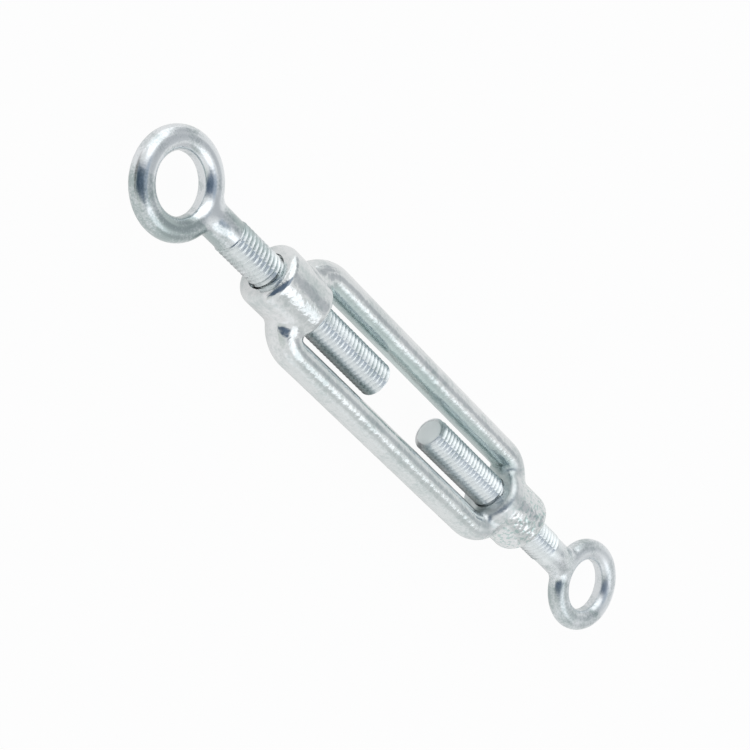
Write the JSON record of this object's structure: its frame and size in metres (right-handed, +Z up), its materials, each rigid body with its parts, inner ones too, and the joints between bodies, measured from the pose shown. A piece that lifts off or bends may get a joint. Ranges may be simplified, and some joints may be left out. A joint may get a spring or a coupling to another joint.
{
  "type": "rigging turnbuckle",
  "caption": "Open-body turnbuckle with an eye at each end; turning its two-bar frame draws a right-hand and a left-hand threaded eye bolt in or out together.",
  "frame": {"origin": "middle of the frame on the thread axis", "axes": "+X along the thread axis from the right-hand eye bolt to the left-hand one, +Y across the window from bar to bar, +Z up, square to the plane of the two side bars"},
  "size_m": [0.224, 0.0304, 0.0178],
  "materials": {
    "zinc_frame": "drop-forged steel, bright zinc plated, lightly pitted",
    "zinc_eye_bolt": "forged and rolled steel, bright zinc plated, smooth"
  },
  "bodies": {
    "frame": {"frame": "zinc_frame"},
    "right_hand_eye_bolt": {"right_hand_eye_bolt": "zinc_eye_bolt"},
    "left_hand_eye_bolt": {"left_hand_eye_bolt": "zinc_eye_bolt"}
  },
  "joints": [
    {"name": "right_hand_travel", "type": "slide", "parent": "frame", "child": "right_hand_eye_bolt", "axis": [-1, 0, 0], "range_m": [-0.0125, 0.031]},
    {"name": "left_hand_travel", "type": "slide", "parent": "frame", "child": "left_hand_eye_bolt", "axis": [1, 0, 0], "range_m": [-0.0125, 0.031]}
  ],
  "couplings": [
    {"joint": "left_hand_travel", "follows": "right_hand_travel", "ratio": 1}
  ]
}
